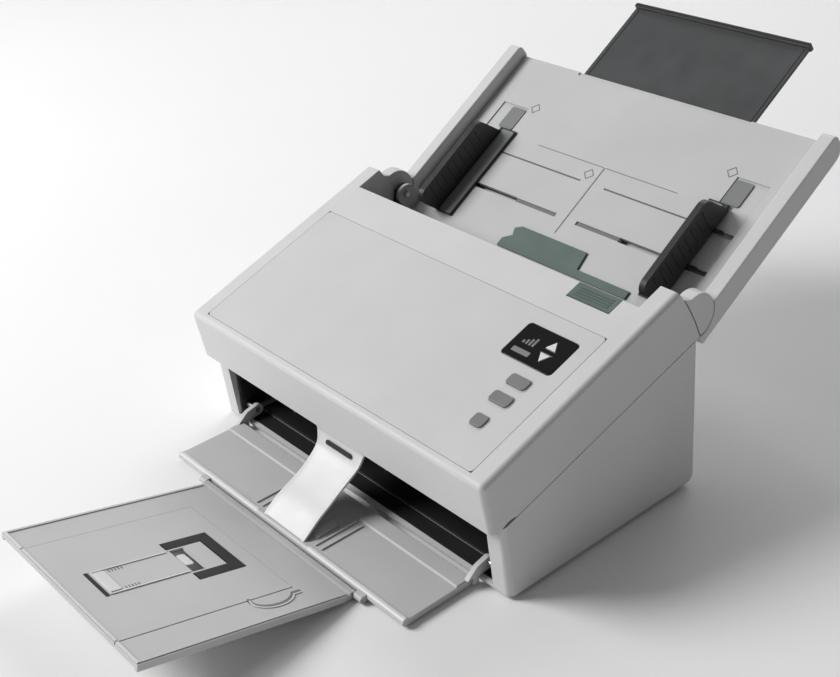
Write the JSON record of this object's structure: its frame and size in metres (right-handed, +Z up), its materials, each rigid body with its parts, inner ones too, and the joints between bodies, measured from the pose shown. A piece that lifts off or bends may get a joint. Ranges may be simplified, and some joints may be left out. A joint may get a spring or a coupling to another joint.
{
  "type": "document scanner",
  "caption": "Sheet-fed document scanner with a leaning paper tray and sliding edge guides, a hinged cover with keys and display, and a fold-out output tray.",
  "frame": {"origin": "on the table, under the middle of the whole scanner with both trays out", "axes": "+X to the right seen from the front, +Y towards the back, +Z up"},
  "size_m": [0.316, 0.6049, 0.242],
  "materials": {
    "white_casing": "fine-textured moulded plastic",
    "white_panel": "fine-textured moulded plastic",
    "grey_plate": "fine-textured moulded plastic",
    "dark_plastic": "satin moulded plastic",
    "guide_plastic": "satin moulded plastic",
    "mid_grey": "satin moulded plastic",
    "window_black": "gloss plastic window",
    "key_plastic": "satin moulded plastic",
    "flap_green": "satin moulded plastic",
    "steel": "bright drawn steel",
    "zinc": "pressed zinc-plated steel",
    "rubber": "soft rubber",
    "gear_plastic": "acetal",
    "board": "circuit board",
    "sensor_glass": "clear glass"
  },
  "bodies": {
    "casing": {"base_casing": "white_casing", "bottom_cover": "dark_plastic", "case_screws": "zinc", "rubber_feet": "rubber", "left_side_frame": "dark_plastic", "right_side_frame": "dark_plastic", "lower_paper_guide": "dark_plastic", "lower_sensor_bar": "dark_plastic", "lower_sensor_glass": "sensor_glass", "bay_bulkhead": "dark_plastic", "main_board": "board", "usb_socket": "zinc", "dc_inlet": "dark_plastic", "idler_studs": "steel", "drive_motor": "zinc", "shaft_bushes": "gear_plastic", "hinge_caps": "white_casing", "tray_hinge_pins": "steel", "cover_hinge_pins": "steel", "output_hinge_pins": "steel"},
    "feed_roller": {"feed_shaft": "steel", "feed_tyres": "rubber", "feed_gear": "gear_plastic"},
    "exit_roller": {"exit_shaft": "steel", "exit_tyres": "rubber", "exit_gear": "gear_plastic"},
    "pinion": {"motor_pinion": "gear_plastic"},
    "large_idler": {"large_idler_gear": "gear_plastic"},
    "small_idler": {"small_idler_gear": "gear_plastic"},
    "cover": {"cover_shell": "white_casing", "top_panel": "white_panel", "display_window": "window_black", "control_board": "board", "upper_paper_guide": "dark_plastic", "upper_sensor_bar": "dark_plastic", "upper_sensor_glass": "sensor_glass", "retard_shaft": "steel", "pinch_shaft": "steel", "roller_brackets": "mid_grey"},
    "retard": {"retard_roller": "rubber"},
    "pinch": {"pinch_rollers": "rubber"},
    "two_side_key": {"two_side_button": "key_plastic"},
    "one_side_key": {"one_side_button": "key_plastic"},
    "power_key": {"power_button": "key_plastic"},
    "key_up": {"up_key": "key_plastic"},
    "key_down": {"down_key": "key_plastic"},
    "latch": {"cover_latch": "flap_green"},
    "paper_tray": {"input_tray_plate": "grey_plate", "input_tray_back": "white_casing", "left_tray_rail": "white_casing", "right_tray_rail": "white_casing", "entry_flap": "flap_green"},
    "left_guide": {"left_paper_guide": "guide_plastic"},
    "right_guide": {"right_paper_guide": "guide_plastic"},
    "tray_top": {"tray_extension": "mid_grey"},
    "output_stage_1": {"output_tray": "grey_plate", "exit_tongue": "grey_plate"},
    "output_stage_2": {"output_extension": "grey_plate"},
    "output_stage_3": {"slide_panel": "grey_plate"},
    "stopper": {"stop_flap": "grey_plate"}
  },
  "joints": [
    {"name": "feed_spin", "type": "hinge", "parent": "casing", "child": "feed_roller", "pos_m": [0, 0.03747, 0.08418], "axis": [1, 0, 0], "continuous": true},
    {"name": "exit_spin", "type": "hinge", "parent": "casing", "child": "exit_roller", "pos_m": [0, -0.06834, 0.05699], "axis": [1, 0, 0], "continuous": true},
    {"name": "motor_spin", "type": "hinge", "parent": "casing", "child": "pinion", "pos_m": [0, 0.04446, 0.0581], "axis": [1, 0, 0], "continuous": true},
    {"name": "large_idler_spin", "type": "hinge", "parent": "casing", "child": "large_idler", "pos_m": [0, -0.00224, 0.07398], "axis": [1, 0, 0], "continuous": true},
    {"name": "small_idler_spin", "type": "hinge", "parent": "casing", "child": "small_idler", "pos_m": [0, -0.03935, 0.05653], "axis": [1, 0, 0], "continuous": true},
    {"name": "cover_open", "type": "hinge", "parent": "casing", "child": "cover", "pos_m": [0, -0.0805, 0.049], "axis": [1, 0, 0], "range_deg": [0, 42]},
    {"name": "retard_spin", "type": "hinge", "parent": "cover", "child": "retard", "pos_m": [0, 0.0295, 0.10935], "axis": [1, 0, 0], "continuous": true},
    {"name": "pinch_spin", "type": "hinge", "parent": "cover", "child": "pinch", "pos_m": [0, -0.07208, 0.06881], "axis": [1, 0, 0], "continuous": true},
    {"name": "two_side_press", "type": "slide", "parent": "cover", "child": "two_side_key", "axis": [0, 0.3266, -0.9452], "range_m": [0, 0.001], "stiffness_N_per_m": 400, "springref_m": -0.0006},
    {"name": "one_side_press", "type": "slide", "parent": "cover", "child": "one_side_key", "axis": [0, 0.3266, -0.9452], "range_m": [0, 0.001], "stiffness_N_per_m": 400, "springref_m": -0.0006},
    {"name": "power_press", "type": "slide", "parent": "cover", "child": "power_key", "axis": [0, 0.3266, -0.9452], "range_m": [0, 0.001], "stiffness_N_per_m": 400, "springref_m": -0.0006},
    {"name": "up_key_press", "type": "slide", "parent": "cover", "child": "key_up", "axis": [0, 0.3266, -0.9452], "range_m": [0, 0.0008], "stiffness_N_per_m": 300, "springref_m": -0.0005},
    {"name": "down_key_press", "type": "slide", "parent": "cover", "child": "key_down", "axis": [0, 0.3266, -0.9452], "range_m": [0, 0.0008], "stiffness_N_per_m": 300, "springref_m": -0.0005},
    {"name": "latch_lift", "type": "hinge", "parent": "cover", "child": "latch", "pos_m": [0, 0.03674, 0.14339], "axis": [1, 0, 0], "range_deg": [0, 20], "stiffness_Nm_per_rad": 0.02, "springref_deg": -11.46},
    {"name": "tray_fold", "type": "hinge", "parent": "casing", "child": "paper_tray", "pos_m": [0, 0.0885, 0.131], "axis": [1, 0, 0], "range_deg": [0, 100]},
    {"name": "right_guide_slide", "type": "slide", "parent": "paper_tray", "child": "right_guide", "axis": [1, 0, 0], "range_m": [-0.055, 0.006]},
    {"name": "left_guide_slide", "type": "slide", "parent": "paper_tray", "child": "left_guide", "axis": [1, 0, 0], "range_m": [-0.006, 0.055]},
    {"name": "tray_extend", "type": "slide", "parent": "paper_tray", "child": "tray_top", "axis": [0, 0.8503, 0.5264], "range_m": [-0.074, 0]},
    {"name": "output_fold", "type": "hinge", "parent": "casing", "child": "output_stage_1", "pos_m": [0, -0.0785, 0.012], "axis": [1, 0, 0], "range_deg": [-50, 0]},
    {"name": "extension_fold", "type": "hinge", "parent": "output_stage_1", "child": "output_stage_2", "pos_m": [0, -0.15267, 0.00364], "axis": [1, 0, 0], "range_deg": [-45, 0]},
    {"name": "panel_slide", "type": "slide", "parent": "output_stage_2", "child": "output_stage_3", "axis": [0, -0.9659, 0.2588], "range_m": [0, 0.058]},
    {"name": "stop_tilt", "type": "hinge", "parent": "output_stage_3", "child": "stopper", "pos_m": [0, -0.22452, 0.02294], "axis": [1, 0, 0], "range_deg": [-85, 0]}
  ],
  "couplings": [
    {"joint": "exit_spin", "follows": "feed_spin", "ratio": -2.2222},
    {"joint": "motor_spin", "follows": "feed_spin", "ratio": -2.8571},
    {"joint": "large_idler_spin", "follows": "feed_spin", "ratio": -0.95238},
    {"joint": "small_idler_spin", "follows": "feed_spin", "ratio": 1},
    {"joint": "retard_spin", "follows": "feed_spin", "ratio": -1},
    {"joint": "pinch_spin", "follows": "feed_spin", "ratio": 3.1111},
    {"joint": "left_guide_slide", "follows": "right_guide_slide", "ratio": -1}
  ]
}
